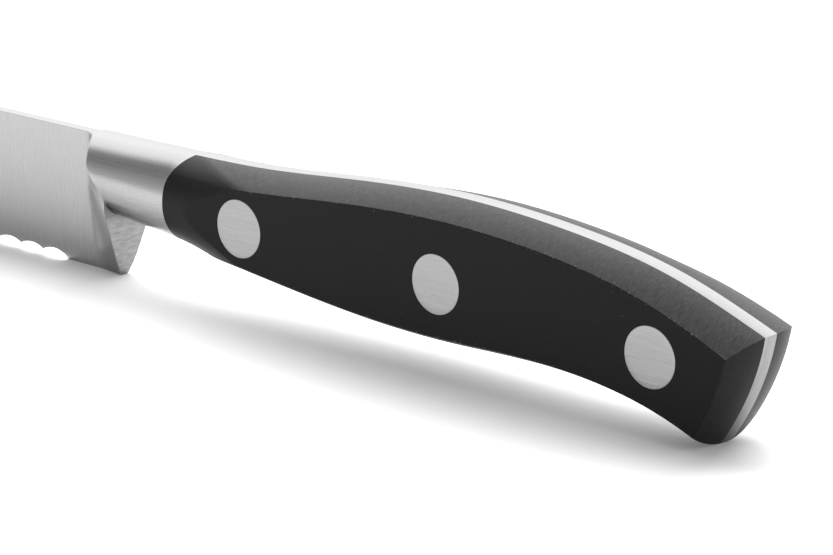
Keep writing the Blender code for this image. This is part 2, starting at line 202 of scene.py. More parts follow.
class Patchwork:
    """Grids of points that are welded along their borders into one closed mesh."""

    def __init__(self, shares: tuple[str, ...] = ("ground", "edge")) -> None:
        """Start without a grid; shares names the attributes of the points' wear and painted light."""
        self.shares = shares
        self.grids: list[tuple[np.ndarray, ...]] = []
        self.count = 0

    def add(self, grid: np.ndarray, ring: bool = False, slots: np.ndarray | int = 0,
            wear: np.ndarray | float = 0.0) -> None:
        """Add a grid as quads between neighbouring rows and columns.

        Args:
            grid: Points in millimetres, rows by columns by 3.
            ring: Whether the last column is joined to the first one.
            slots: Material slot of each quad, or of all.
            wear: Every share of wear and painted light at each point, or one for all.
        """
        rows, columns = grid.shape[:2]
        index = np.arange(rows * columns).reshape(rows, columns) + self.count
        right = np.roll(index, -1, axis=1)
        quads = np.stack([index[:-1], right[:-1], right[1:], index[1:]], axis=-1)
        if not ring:
            quads = quads[:, :-1]
        slots = np.broadcast_to(slots, quads.shape[:2]).reshape(-1)
        wear = np.broadcast_to(wear, (rows, columns, len(self.shares)))
        wear = wear.reshape(-1, len(self.shares))
        self.grids.append((grid.reshape(-1, 3), quads.reshape(-1, 4), slots, wear))
        self.count += rows * columns

    def mesh(self, sharp: float) -> bpy.types.Mesh:
        """Weld the grids and turn their faces outwards.

        Args:
            sharp: Angle between faces, in degrees, from which an edge is drawn sharp.

        Returns:
            The mesh in metres in world coordinates, with wear and painted light as attributes.
        """
        points, quads, slots, wear = (np.concatenate(parts) for parts in zip(*self.grids))
        mesh = bpy.data.meshes.new("patchwork")
        mesh.from_pydata(points * MM + HEEL, [], quads)
        mesh.polygons.foreach_set("material_index", slots.astype(np.int32))
        for name, values in zip(self.shares, wear.T):
            attribute = mesh.attributes.new(name, "FLOAT", "POINT")
            attribute.data.foreach_set("value", values.astype(np.float32))
        welded = bmesh.new()
        welded.from_mesh(mesh)
        bmesh.ops.remove_doubles(welded, verts=welded.verts, dist=WELD_DISTANCE)
        bmesh.ops.dissolve_degenerate(welded, edges=welded.edges, dist=WELD_DISTANCE)
        bmesh.ops.recalc_face_normals(welded, faces=welded.faces)
        welded.to_mesh(mesh)
        welded.free()
        mesh.shade_smooth()
        mesh.set_sharp_from_angle(angle=math.radians(sharp))
        return mesh


def add_piece(mesh: bpy.types.Mesh, node: str) -> bpy.types.Object:
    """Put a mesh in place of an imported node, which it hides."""
    mesh.name = node + "_ground"
    piece = bpy.data.objects.new(mesh.name, mesh)
    bpy.context.collection.objects.link(piece)
    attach(piece, "root")
    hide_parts(node)
    return piece


@dataclass(frozen=True)
class Columns:
    """Points on half a section from its top to its bottom, by the parts of its outline."""

    tang: int = 5
    crown: int = 16
    crease: int = 6
    side: int = 12

    @property
    def upper(self) -> int:
        """Points from the top down to the end of the crease's rounding."""
        return self.tang + self.crown + self.crease + 1

    @property
    def count(self) -> int:
        """Points on the half section."""
        return 2 * self.upper + self.side - 1

    @property
    def flank(self) -> int:
        """First point of the lower crease, where the guard's flank leaves the neck's oval."""
        return self.count - self.upper

    @cached_property
    def shares(self) -> np.ndarray:
        """Shares of the tang's, the crown's and the crease's angle above each upper point."""
        ends = np.cumsum([0, self.tang, self.crown, self.crease])
        steps = np.arange(self.upper)
        return np.clip((steps - ends[:-1, None]) / np.diff(ends)[:, None], 0.0, 1.0)


@dataclass(frozen=True)
class GripForm:
    """Outer form of the neck and the grip, from the guard to the butt.

    The halves are counted from the tang's plane. The tops, bottoms and crowns are knots of splines.
    """

    half: float = 6.4
    half_neck: float = 5.8
    half_tang: float = 1.15
    neck_floor: float = 9.2
    crease_rounding: float = 0.08
    crease_wear: float = 0.5
    front_fade: float = 0.7
    front_ground: float = 0.42
    front_ground_rise: float = 0.5
    round_start: float = 62.0
    round_end: float = 70.0
    front_length: float = 14.3
    front_widening: float = 1.75
    front_heightening: float = 2.6
    guard_lean: float = 0.15
    guard_fillet: float = 0.6
    joint_x: float = 14.0
    joint_arc_height: float = 16.0
    joint_arc_radius: float = 5.5
    joint_arc_end: float = 0.97
    joint_rounds: int = 40
    butt_undercut: float = 6.5
    butt_bulge: float = 1.0
    butt_crown: float = 1.7
    right_grind_length: float = 21.0
    right_grind_curve: float = 1.5
    right_top_flattening: float = 6.0
    right_bottom_rounding: float = 2.0
    rivet_x: tuple[float, ...] = tuple(rivet_place(name)[0] for name in RIVET_NAMES)
    tops: tuple[float, ...] = (19.9, 20.2, 20.7, 22.3, 23.2, 22.3, 19.4, 14.9)
    bottoms: tuple[float, ...] = (9.2, 7.7, 6.2, 4.5, 4.0, 4.5, 2.1, 0.0)
    crowns: tuple[float, ...] = (9.3, 10.8, 9.4)

    @cached_property
    def neck_middle(self) -> float:
        """Height of the neck's middle at the guard."""
        return (self.tops[0] + self.neck_floor) / 2

    @cached_property
    def first(self) -> float:
        """Base x of the neck's first section, just behind the guard's rear facet."""
        return self.guard_lean * self.neck_middle + self.guard_fillet

    @cached_property
    def stations(self) -> list[float]:
        """Places of the lines' knots: heel, joint, rivets and the middles between them."""
        front, middle, rear = self.rivet_x
        return [0.0, self.joint_x, front, (front + middle) / 2, middle, (middle + rear) / 2, rear]

    @cached_property
    def top(self) -> Curve:
        """Height of the top line."""
        return natural_spline([*self.stations, BUTT_X], self.tops)

    @cached_property
    def bottom(self) -> Curve:
        """Height of the bottom line, which ends before the butt by its undercut."""
        return natural_spline([*self.stations, BUTT_X - self.butt_undercut], self.bottoms)

    @cached_property
    def crown(self) -> Curve:
        """Half width of the oval that the crowns are cut from, from the front rivet on."""
        return natural_spline([*self.rivet_x[:2], BUTT_X], self.crowns)

    def crown_widths(self, x: np.ndarray, side: Side) -> tuple[np.ndarray, np.ndarray]:
        """Half widths of the upper and lower crown; at the butt the right is flatter above."""
        width = self.crown(x)
        near = np.clip(1.0 - (BUTT_X - x) / self.right_grind_length, 0.0, None)
        ground = near**self.right_grind_curve * (side is Side.RIGHT)
        upper = width + self.right_top_flattening * ground
        return upper, width - self.right_bottom_rounding * ground

    def round_front(self, x: np.ndarray, tall: np.ndarray) -> tuple[np.ndarray, np.ndarray]:
        """Half width of the round front's oval, and how many times as high as the section it is."""
        behind = np.clip((x - self.joint_x) / self.front_length, 0.0, None)
        over = 1.0 + self.front_heightening * behind**2 / tall
        return self.half_neck + self.front_widening * behind, over

    def crown_rise(self, crown: np.ndarray, front: np.ndarray, over: np.ndarray,
                   shares: np.ndarray) -> np.ndarray:
        """Heights of points on a crown as shares of the section's half height.

        The points step over the tang's top, along the crown or the round front and round the crease
        to the flat side, evenly in the angle whose cosine is the height.

        Args:
            crown: Half width of the crown's oval at each point.
            front: Half width of the round front's oval.
            over: How many times as high as the section the round front is.
            shares: Shares of the three angles at each point.

        Returns:
            Heights from 1 at the top.
        """
        def angle_at(y: np.ndarray | float) -> np.ndarray:
            """Angle at which the lower of both ovals is y wide."""
            return np.arccos(np.minimum(round_at(y / crown), over * round_at(y / front)))

        ends = ((-self.crease_rounding, self.round_start), (self.crease_rounding, self.round_end))
        tang = angle_at(self.half_tang)
        start, end = (
            angle_at(np.minimum(self.half + reach, front * math.sin(math.radians(angle))))
            for reach, angle in ends)
        return np.cos(tang * shares[0] + (start - tang) * shares[1] + (end - start) * shares[2])

    def to_butt(self, x: np.ndarray) -> np.ndarray:
        """How far a section leans with the butt: from 0 at the middle rivet to 1, as a square."""
        middle = self.rivet_x[1]
        return np.clip((x - middle) / (BUTT_X - middle), 0.0, None) ** 2

    def section(self, x: np.ndarray, side: Side,
                columns: Columns) -> tuple[np.ndarray, np.ndarray, np.ndarray]:
        """Half sections: the narrowest of the crowns' ovals, the round front's oval and the grip.

        Args:
            x: Base places, rows by columns.
            side: Side of the tang.
            columns: Points on the half section.

        Returns:
            The distances from the tang's plane, the heights, and the wear: the share of
            cross-grinding, whole on the crowns and fading to the round front, and the share of edge
            wear along the creases.
        """
        upper, lower = self.crown_widths(x, side)
        top = self.top(x)
        bottom = self.bottom(x - self.butt_undercut * self.to_butt(x))
        tall = (top - bottom) / 2
        front, over = self.round_front(x, tall)
        high, low = slice(None, columns.upper), slice(columns.flank, None)
        shares = columns.shares
        above = self.crown_rise(upper[:, high], front[:, high], over[:, high], shares)
        below = -self.crown_rise(lower[:, low], front[:, low], over[:, low], shares[:, ::-1])
        fall = np.linspace(0.0, 1.0, columns.side + 1)[1:-1]
        between = above[:, -1:] + (below[:, :1] - above[:, -1:]) * fall
        rise = np.concatenate([above, between, below], axis=1)
        crown = np.where(rise > 0.0, upper, lower) * round_at(rise)
        round_part = front * round_at(rise / over)
        y = soft_minimum(crown, round_part, self.crease_rounding)
        on_crown = smooth((self.half - crown) / self.crease_rounding)
        ground = on_crown * smooth((round_part - crown) / self.front_fade)
        flush = smooth((rise - self.front_ground_rise) / (1.0 - self.front_ground_rise))
        ground = np.maximum(ground, self.front_ground * flush * (crown < self.half))
        edge = smooth(1.0 - np.abs(self.half - crown) / self.crease_wear)
        wear = np.stack([ground, edge * (round_part > self.half)], axis=-1)
        y = soft_minimum(y, self.half, self.crease_rounding)
        return y, (top + bottom) / 2 + rise * tall, wear

    def butt_offset(self, y: np.ndarray, z: np.ndarray) -> np.ndarray:
        """Place of the butt's end before its top corner: undercut, bulging and crowned in plan."""
        height = np.clip(z / self.tops[-1], 0.0, 1.0)
        bulge = 4.0 * self.butt_bulge * height * (1.0 - height)
        return self.butt_undercut * (height - 1.0) + bulge - self.butt_crown * (y / self.half) ** 2

    def place(self, x: np.ndarray, y: np.ndarray, z: np.ndarray) -> np.ndarray:
        """True x of a section's points: it leans with the guard in front and the butt behind."""
        lean = self.guard_lean * (1.0 - smooth((x - self.first) / self.joint_x))
        return x + lean * (z - self.neck_middle) + self.to_butt(x) * self.butt_offset(y, z)

    def rows(self, x: np.ndarray, side: Side, columns: Columns) -> np.ndarray:
        """Rows of points on one side at base places x, y counted from the tang's plane."""
        y, z, _ = self.section(x, side, columns)
        return np.stack([self.place(x, y, z), y, z], axis=-1)

    def joint(self, z: np.ndarray) -> np.ndarray:
        """Place of the joint between neck and scales: upright, then an arc back at the top."""
        rise = np.clip((z - self.joint_arc_height) / self.joint_arc_radius, 0.0, self.joint_arc_end)
        return self.joint_x + self.joint_arc_radius * (1.0 - round_at(rise))

    def joint_base(self, side: Side, columns: Columns) -> np.ndarray:
        """Base places whose points fall on the joint, found by adding what is still missing."""
        x = np.full((1, columns.count), self.joint_x)
        for _ in range(self.joint_rounds):
            points = self.rows(x, side, columns)
            x = x + self.joint(points[..., 2]) - points[..., 0]
        return x


@dataclass(frozen=True)
class BladeForm:
    """Form of the blade: pointed, a flat taper from spine to edge, scalloped from the right."""

    height: float = 19.7
    spine_fall: float = 1.2
    spine_curve_length: float = 55.0
    edge_curve_length: float = 34.0
    tip_height: float = 6.2
    tip_blunt: float = 0.8
    tip_rounding: float = 0.5
    tip_thinned: float = 0.3
    tip_thin_length: float = 7.0
    spine_thickness: float = 1.9
    tip_thickness: float = 1.0
    edge_thickness: float = 0.5
    spine_rounding: float = 0.06
    spine_columns: int = 5
    honed_height: float = 0.55
    honed_thickness: float = 0.12
    plain_heel: float = 11.25
    scallop_run_in: float = 0.35
    scallop_pitch: float = 4.6
    scallop_radius: float = 4.35
    scallop_height: float = 1.3
    scallop_count: int = 25
    scallop_run_out: float = 3.0
    grind_angle: float = 70.0
    grind_rise: float = 0.3

    @property
    def first_scallop(self) -> float:
        """Middle of the scallop nearest to the heel."""
        return -self.plain_heel - self.scallop_run_in - self.scallop_pitch / 2

    @property
    def last_cusp(self) -> float:
        """End of the scallop nearest to the tip."""
        return self.first_scallop - (self.scallop_count - 0.5) * self.scallop_pitch

    def spine(self, x: np.ndarray) -> np.ndarray:
        """Height of the spine: nearly straight, then a parabola down to the tip."""
        drop = self.height - self.spine_fall - self.tip_height - self.tip_blunt
        bend = np.clip(1.0 - (x + BLADE_LENGTH) / self.spine_curve_length, 0.0, None)
        return self.height + self.spine_fall * x / BLADE_LENGTH - drop * bend * bend

    def edge(self, x: np.ndarray) -> np.ndarray:
        """Height of the edge line before grinding: straight, then a parabola up to the tip."""
        bend = np.clip(1.0 - (x + BLADE_LENGTH) / self.edge_curve_length, 0.0, None)
        return self.tip_height * bend * bend

    def scallop(self, x: np.ndarray) -> np.ndarray:
        """Height of the scallops above the edge line: arcs in a row, with a slant at both ends."""
        reach = (x - self.first_scallop) / self.scallop_pitch
        off = (reach - np.clip(np.round(reach), 1 - self.scallop_count, 0)) * self.scallop_pitch
        off = np.clip(np.abs(off), 0.0, self.scallop_pitch / 2)
        rise = np.sqrt(self.scallop_radius**2 - off * off)
        arc = self.scallop_height - self.scallop_radius + rise
        slant = np.clip((-self.plain_heel - x) / self.scallop_run_in, 0.0, 1.0)
        return arc * slant * np.clip(1.0 + (x - self.last_cusp) / self.scallop_run_out, 0.0, 1.0)

    def stations(self, tip_steps: int, scallop_steps: int) -> np.ndarray:
        """Places of the sections from the tip to the plain heel, with one on each cusp.

        Args:
            tip_steps: Sections before the first cusp.
            scallop_steps: Sections on each scallop.

        Returns:
            Places, rising.
        """
        t = np.linspace(0.0, 1.0, tip_steps, endpoint=False)
        tip = -BLADE_LENGTH + (self.last_cusp + BLADE_LENGTH) * t * t
        turn = np.linspace(-0.5, 0.5, scallop_steps + 1)[:-1] * math.pi
        middles = self.first_scallop - np.arange(self.scallop_count)[::-1] * self.scallop_pitch
        scallops = (middles[:, None] + np.sin(turn) * self.scallop_pitch / 2).ravel()
        end = [self.first_scallop + self.scallop_pitch / 2, -self.plain_heel]
        return np.concatenate([tip, scallops, end])

    def half_spine(self, x: np.ndarray) -> np.ndarray:
        """Half the spine's thickness, thinning to the tip."""
        thinning = self.tip_thickness - self.spine_thickness
        return (self.spine_thickness + thinning * -x / BLADE_LENGTH) / 2

    def rows(self, x: np.ndarray, side: Side, levels: np.ndarray, columns: Columns) -> np.ndarray:
        """Rows of points on one side: half the spine, its rounded edge and the face to the edge.

        The grinding rises by the tangent of its angle from the left face to the right one, so the
        left face ends at arc / (1 + k) and the right one at (arc + whole edge rise) / (1 - k), k
        being the faces' taper times that tangent. Towards the tip both are thinned first.

        Args:
            x: Places of the sections, as a column or rows by columns.
            side: Side of the blade.
            levels: Height of each column, from 1 below the spine's rounding to 0 at the edge.
            columns: Points on the half section.

        Returns:
            Points, rows by columns by 3.
        """
        x = np.broadcast_to(x, (len(x), columns.count))
        spine, edge = self.spine(x), self.edge(x)
        near = smooth((x + BLADE_LENGTH) / self.tip_thin_length)
        thin = self.tip_thinned + (1.0 - self.tip_thinned) * near
        half, low = self.half_spine(x) * thin, self.edge_thickness / 2 * thin
        steep = math.tan(math.radians(self.grind_angle))
        taper = (half - low) / (spine - edge)
        arc = self.scallop(x)
        ground = np.clip(arc / self.grind_rise, 0.0, 1.0)
        left = edge + arc / (1.0 + taper * steep)
        right = edge + (arc + 2.0 * low * steep * ground) / (1.0 - taper * steep)
        bottom = left if side is Side.LEFT else right
        z = bottom + (spine - self.spine_rounding - bottom) * levels
        honed = np.clip((z - edge) / self.honed_height, 0.0, 1.0)
        honed_half = self.honed_thickness / 2 * thin
        y = (low + taper * (z - edge)) * honed + honed_half * (1.0 - honed)
        flat = slice(columns.tang)
        rounded = slice(columns.tang, columns.tang + self.spine_columns)
        turn = np.linspace(0.0, QUARTER_TURN, self.spine_columns)
        even = (half - self.spine_rounding) * np.arange(columns.count) / columns.tang
        y[:, flat], z[:, flat] = even[:, flat], spine[:, flat]
        y[:, rounded] = half[:, rounded] - self.spine_rounding * (1.0 - np.sin(turn))
        z[:, rounded] = spine[:, rounded] - self.spine_rounding * (1.0 - np.cos(turn))
        y[:, -1] = 0.0
        z[:, -1] = ((left + right) / 2)[:, -1]
        nose = round_at(1.0 - np.clip((x + BLADE_LENGTH) / self.tip_rounding, 0.0, 1.0))
        middle = (spine + edge) / 2
        return np.stack([x, y * nose, middle + (z - middle) * nose], axis=-1)


@dataclass
class Forging:
    """Blade, bolster, finger guard and tang as one piece of steel.

    Places and lengths are in millimetres; steps, columns and rows are counts on its grid.
    """

    grip: GripForm
    blade: BladeForm
    columns: Columns = Columns(crown=28)
    sharp: float = 16.0
    # The guard's section.
    heel_thickness: float = 1.2
    heel_rounding: float = 0.55
    heel_columns: int = 7
    flank_slope: float = 0.445
    flank_bend: float = 0.0032
    flank_rounding: float = 0.8
    right_bulge: float = 0.45
    right_bulge_height: float = 2.0
    ledge_top: float = 12.7
    ledge_fade: float = 2.6
    facet_top: float = 11.1
    # The ramp from the blade to the crest, and the crest's line and rounding.
    ramp_length: float = 5.2
    ramp_lean: float = 0.115
    ramp_foot: float = 0.2
    ramp_swell: float = 2.0
    swell_start: float = 11.0
    swell_height: float = 6.0
    crest_place: float = 1.07
    crest_reach: float = 3.88
    crest_curve: float = 1.75
    crest_turn: float = 93.0
    crest_rounding: float = 0.25
    shoulder_rounding: float = 4.5
    shoulder_lead: float = 2.2
    shoulder_high: float = 17.0
    shoulder_fall: float = 6.0
    # From the crest to the neck. Limits are the most that a rounding takes of the way it lies on.
    guard_land: float = 0.1
    land_limit: float = 0.95
    neck_edge: float = 0.85
    neck_root: float = 0.95
    guard_edge_rounding: float = 0.12
    edge_land_limit: float = 0.4
    edge_facet_limit: float = 0.3
    settling: float = 2.5
    settling_limit: float = 0.4
    facet_fillet: float = 1.3
    fillet_limit: float = 0.5
    # Rows and columns.
    tip_steps: int = 18
    scallop_steps: int = 10
    heel_steps: int = 6
    ramp_steps: int = 28
    crest_steps: int = 12
    land_steps: int = 2
    edge_steps: int = 4
    facet_steps: int = 6
    fillet_steps: int = 7
    neck_steps: int = 20
    tang_steps: int = 80
    butt_columns: int = 8
    nose_columns: int = 2
    # Finishes, wear and painted light. Pairs of rows, counted from a part's first row, are where
    # painted shade sets in or fades.
    crest_ground_rows: int = 6
    fillet_ground_rows: int = 3
    scale_columns: int = 8
    scale_before: tuple[int, int] = (-9, -5)
    scale_across: tuple[int, int] = (2, 6)
    scale_behind: tuple[int, int] = (1, 8)
    scale_left: float = 0.25
    scale_low: float = 8.5
    scale_rise: float = 0.9
    satin_top: float = 16.5
    satin_fade: float = 5.0
    satin_rise: float = 3.0
    onset_rows: int = 18
    # Painted light: left flank lighter above and darker below; painted shade on the neck.
    painted_light_rows: int = 8
    painted_light_heights: tuple[float, ...] = (0.0, 3.0, 6.0, 9.0, 11.0, 12.2, 13.5, 14.5, 17.0, 20.0)
    painted_light_levels: tuple[float, ...] = (-0.3, -0.24, -0.22, 0.12, 0.38, 0.44, 0.25, 0.1, 0.0, 0.0)
    painted_neck_shade: float = -0.15
    painted_neck_shade_start: float = 0.8
    painted_neck_shade_rise: float = 3.0
    # Painted shade: share at the bottom of the butt's end, fading to none at its top.
    butt_painted_shade: float = 0.85

    def neck_section(self, side: Side) -> tuple[np.ndarray, np.ndarray]:
        """Half the neck's section at the heel: distances from the tang's plane and heights."""
        y, z, _ = self.grip.section(np.zeros((1, self.columns.count)), side, self.columns)
        return y[0], z[0]

    def guard(self, side: Side) -> tuple[np.ndarray, np.ndarray]:
        """Half the bolster's section: the neck's oval, bulging flanks below and a rounded heel.

        A flank's distance from the middle is half the heel + slope * z - bend * z squared, kept
        within the neck, and on the right a bulge b * t * exp(1 - t) more, t being z over the
        bulge's height. The ledge by which the flank stands out from the oval fades towards its top.

        Args:
            side: Side of the blade.

        Returns:
            Distances from the tang's plane and heights.
        """
        form, columns = self.grip, self.columns
        y, z = self.neck_section(side)
        flank = slice(columns.flank, -1)
        turn = np.linspace(0.0, QUARTER_TURN, self.heel_columns + 1)[1:]
        straight_columns = columns.upper - 1 - self.heel_columns
        fall = np.linspace(z[columns.flank], self.heel_rounding, straight_columns)
        z[flank] = np.concatenate([fall, self.heel_rounding * (1.0 - np.sin(turn))])
        z[-1] = 0.0
        straight = np.maximum(z, self.heel_rounding)
        bend = self.flank_bend * straight**2
        wide = self.heel_thickness / 2 + self.flank_slope * straight - bend
        if side is Side.RIGHT:
            t = straight / self.right_bulge_height
            wide = wide + self.right_bulge * t * np.exp(1.0 - t)
        wide = soft_minimum(wide, form.half_neck, self.flank_rounding)
        rise = (z - form.neck_middle) / (form.neck_middle - form.neck_floor)
        oval = form.half_neck * round_at(rise)
        ledge = np.maximum(wide - oval, 0.0) * smooth((self.ledge_top - z) / self.ledge_fade)
        y[flank] = (oval + ledge)[flank]
        y[-1 - self.heel_columns:-1] -= self.heel_rounding * (1.0 - np.cos(turn))
        return y, z

    @cached_property
    def levels(self) -> np.ndarray:
        """Height of each column on the blade's face, so that columns run level into the bolster."""
        _, z = self.guard(Side.LEFT)
        return np.clip(z / z[self.columns.tang + self.blade.spine_columns - 1], 0.0, 1.0)

    def crest(self, z: np.ndarray) -> np.ndarray:
        """Place of the crest at heights z: the guard's edge below, sweeping forward above.

        Above the neck's middle it goes forward as a power of the angle left to the neck's top.
        """
        form = self.grip
        facet = form.guard_lean * z - self.guard_land
        rise = np.clip((z - form.neck_middle) / (form.tops[0] - form.neck_middle), 0.0, 1.0)
        left = np.clip(1.0 - np.degrees(np.arccos(rise)) / self.crest_turn, 0.0, 1.0)
        front = -self.crest_place - self.crest_reach * left**self.crest_curve
        above = smooth((z - form.neck_floor) / (form.neck_middle - form.neck_floor))
        return facet + (front - facet) * above

    def bolster_rows(self, side: Side) -> tuple[np.ndarray, dict[str, int]]:
        """Rows from the plain heel over the ramp and crest, the guard's rear facet and its fillet.

        Along each column the way is blade, ramp (x even, y and z as a power of the way, with a
        rounded foot), crest, guard's edge, facet and neck. The ramp is straight on the flank and
        hollow above it. A cubic rounds the crest, and parabolas the guard's edge and the fillet.

        Args:
            side: Side of the blade.

        Returns:
            The rows, and the first row of each part after the heel.
        """
        form, columns = self.grip, self.columns
        y, z = self.guard(side)
        crest = np.stack([self.crest(z), y, z], axis=-1)
        heel_x = -self.blade.plain_heel
        ramp_x = -self.ramp_length - self.ramp_lean * z
        plain = heel_x + (ramp_x - heel_x) * steps_to(self.heel_steps)
        heel = self.blade.rows(plain, side, self.levels, columns)
        neck = form.rows(np.full((1, columns.count), form.first), side, columns)[0]
        y_neck, z_neck = self.neck_section(side)
        edge = np.stack([form.guard_lean * z, y, z], axis=-1)
        root = np.stack([form.guard_lean * z_neck, y_neck, z_neck], axis=-1)
        above = slice(columns.flank)
        edge[above] = (crest + (neck - crest) * self.neck_edge)[above]
        root[above] = (crest + (neck - crest) * self.neck_root)[above]
        land = np.linalg.norm(edge - crest, axis=1)
        wide = np.linalg.norm(root - edge, axis=1)
        room = np.minimum(self.edge_land_limit * land, self.edge_facet_limit * wide)
        corner = np.minimum(self.guard_edge_rounding, room)
        shoulder = smooth((self.shoulder_high - z) / self.shoulder_fall)
        rounding = self.crest_rounding + self.shoulder_rounding * shoulder
        reach = np.minimum(rounding, self.land_limit * (land - corner))
        rounding = np.minimum(rounding, self.crest_rounding + self.shoulder_lead * reach)
        way = crest - heel[-1]
        swell = 1.0 + self.ramp_swell * smooth((z - self.swell_start) / self.swell_height)
        slope = np.linalg.norm(way * np.stack([np.ones_like(z), swell, swell], axis=-1), axis=1)
        t = steps_to(self.ramp_steps) * (1.0 - rounding / slope)
        foot = self.ramp_foot
        flare = (np.sqrt(t * t + foot**2) - foot) / (math.sqrt(1.0 + foot**2) - foot)
        flare = flare**swell
        ramp = heel[-1] + way * np.stack([t, flare, flare], axis=-1)
        over = towards(crest, edge, reach)
        set_out, arrive = unit(ramp[-1] - ramp[-2]), unit(edge - crest)
        before, behind = towards(edge, crest, corner), towards(edge, root, corner)
        settling = np.minimum(self.settling * corner, self.settling_limit * wide)
        settled = towards(edge, root, settling)
        fillet = towards(root, edge, np.minimum(self.facet_fillet, self.fillet_limit * wide))
        parts = {
            "heel": heel,
            "ramp": ramp,
            "crest": bend_over(ramp[-1], set_out, over, arrive, self.crest_steps),
            "land": span(over, before, self.land_steps),
            "facet": np.concatenate([
                lean_on(before, edge, behind, self.edge_steps), settled[None],
                span(settled, fillet, self.facet_steps)]),
            "fillet": lean_on(fillet, root, neck, self.fillet_steps),
        }
        ends = np.cumsum([len(part) for part in parts.values()])
        marks = dict(zip([*list(parts)[1:], "neck"], (int(end) for end in ends)))
        return np.concatenate(list(parts.values())), marks

    def half_rows(self, side: Side) -> tuple[np.ndarray, dict[str, int]]:
        """All rows of one side from the tip to the butt.

        Args:
            side: Side of the knife.

        Returns:
            Points with y counted from the tang's plane, and the first row of each part.
        """
        form, columns = self.grip, self.columns
        stations = self.blade.stations(self.tip_steps, self.scallop_steps)[:, None]
        blade = self.blade.rows(stations, side, self.levels, columns)
        bolster, marks = self.bolster_rows(side)
        joint = form.joint_base(side, columns)
        to_joint = form.first + (joint - form.first) * steps_to(self.neck_steps)
        neck = form.rows(to_joint, side, columns)
        t = np.linspace(0.0, 1.0, self.tang_steps + 1)[:, None]
        tang = form.rows(joint + (BUTT_X - joint) * t, side, columns)
        tang[..., 1] = np.minimum(tang[..., 1], form.half_tang)
        marks = {name: len(blade) + row for name, row in marks.items()}
        marks["tang"] = len(blade) + len(bolster) + len(neck)
        return np.concatenate([blade, bolster, neck, tang]), marks

    def finishes(self, rows: int, marks: dict[str, int]) -> np.ndarray:
        """Material slot of each quad on the ring, by its rows and columns."""
        quads = 2 * self.columns.count - 2
        slots = np.full((rows - 1, quads), Finish.NECK.value)
        ledge = int(np.argmax(self.guard(Side.LEFT)[1] < self.facet_top))
        facet = slice(ledge, quads - ledge)
        slots[:marks["crest"] + self.crest_ground_rows] = Finish.BLADE.value
        slots[:marks["facet"], facet] = Finish.BLADE.value
        fillet_end = marks["fillet"] + self.fillet_ground_rows
        slots[marks["facet"]:fillet_end, facet] = Finish.GUARD.value
        slots[marks["tang"]:] = Finish.TANG.value
        return slots

    def wear(self, ring: np.ndarray, marks: dict[str, int]) -> np.ndarray:
        """Wear and painted light of the ring's points: painted shade, satin and painted light.

        Painted shade darkens the corner behind the guard, and from a height on also across its facet.
        Satin grinding covers the flanks from the ramp on. Painted light lightens the left flank's
        upper part and darkens its lower part by height, in place of light that is reflected in the
        steel twice; painted shade also dims the neck above the facet, behind the crest.

        Args:
            ring: The ring's points, rows by columns by 3.
            marks: The first row of each part.

        Returns:
            Shares of painted shade, satin and painted light, rows by columns by 3.
        """
        columns, row = self.columns, np.arange(len(ring))
        z = self.guard(Side.LEFT)[1]
        shares = [0.0, 1.0, 1.0, self.scale_left, 0.0]
        ends = [*(marks["neck"] + rows for rows in self.scale_behind), marks["tang"]]
        behind, facet = (
            np.interp(row, [*(marks[part] + rows for rows in onset), *ends], shares)[:, None]
            for part, onset in (("neck", self.scale_before), ("facet", self.scale_across)))
        low = smooth((np.arange(columns.count) - columns.flank) / self.scale_columns)
        flank = smooth((self.satin_top - z) / self.satin_fade) * smooth(z / self.satin_rise)
        end = np.where(z < self.facet_top, marks["facet"], marks["tang"])
        # Painted light by height: lighter high on the flank, darker low.
        painted_light = natural_spline(self.painted_light_heights, self.painted_light_levels)(z)
        neck_shade_start = self.facet_top + self.painted_neck_shade_start
        neck_shade = self.painted_neck_shade * smooth((z - neck_shade_start) / self.painted_neck_shade_rise)
        low, flank, end = (np.concatenate([half, half[-2:0:-1]]) for half in (low, flank, end))
        right = np.zeros(columns.count - 2)
        painted_light, neck_shade = (np.concatenate([half, right]) for half in (painted_light, neck_shade))
        row = row[:, None]
        onset = smooth((row - marks["ramp"]) / self.onset_rows)
        satin = onset * flank * smooth((end - row) / (end - marks["land"]))
        before = smooth((marks["facet"] + 1 - row) / self.painted_light_rows)
        painted_light = onset * before * painted_light + (1.0 - before) * neck_shade * satin
        high = smooth((ring[..., 2] - self.scale_low) / self.scale_rise)
        return np.stack([low * np.maximum(behind, facet * high), satin, painted_light], axis=-1)

    def build(self) -> list[bpy.types.Object]:
        """Make the forging: a ring from tip to butt, closed by its butt's end and its nose."""
        left, marks = self.half_rows(Side.LEFT)
        right, _ = self.half_rows(Side.RIGHT)
        left[..., 1] *= -1.0
        ring = np.concatenate([left, right[:, -2:0:-1]], axis=1)
        work = Patchwork(("scale", "satin", "painted_light"))
        slots, wear = self.finishes(len(ring), marks), self.wear(ring, marks)
        work.add(ring, ring=True, slots=slots, wear=wear)
        end = bridge(left[-1], right[-1], self.butt_columns)
        end[..., 0] = BUTT_X + self.grip.butt_offset(end[..., 1], end[..., 2])
        # Painted shade: the butt's end darker towards the bottom.
        fall = self.butt_painted_shade * smooth(1.0 - end[..., 2] / self.grip.tops[-1])
        only_painted_shade = np.array([1.0, 0.0, 0.0])
        work.add(end, slots=Finish.BUTT.value, wear=fall[..., None] * only_painted_shade)
        work.add(bridge(left[0], right[0], self.nose_columns), slots=Finish.BLADE.value)
        return [add_piece(work.mesh(self.sharp), "blade_forging")]

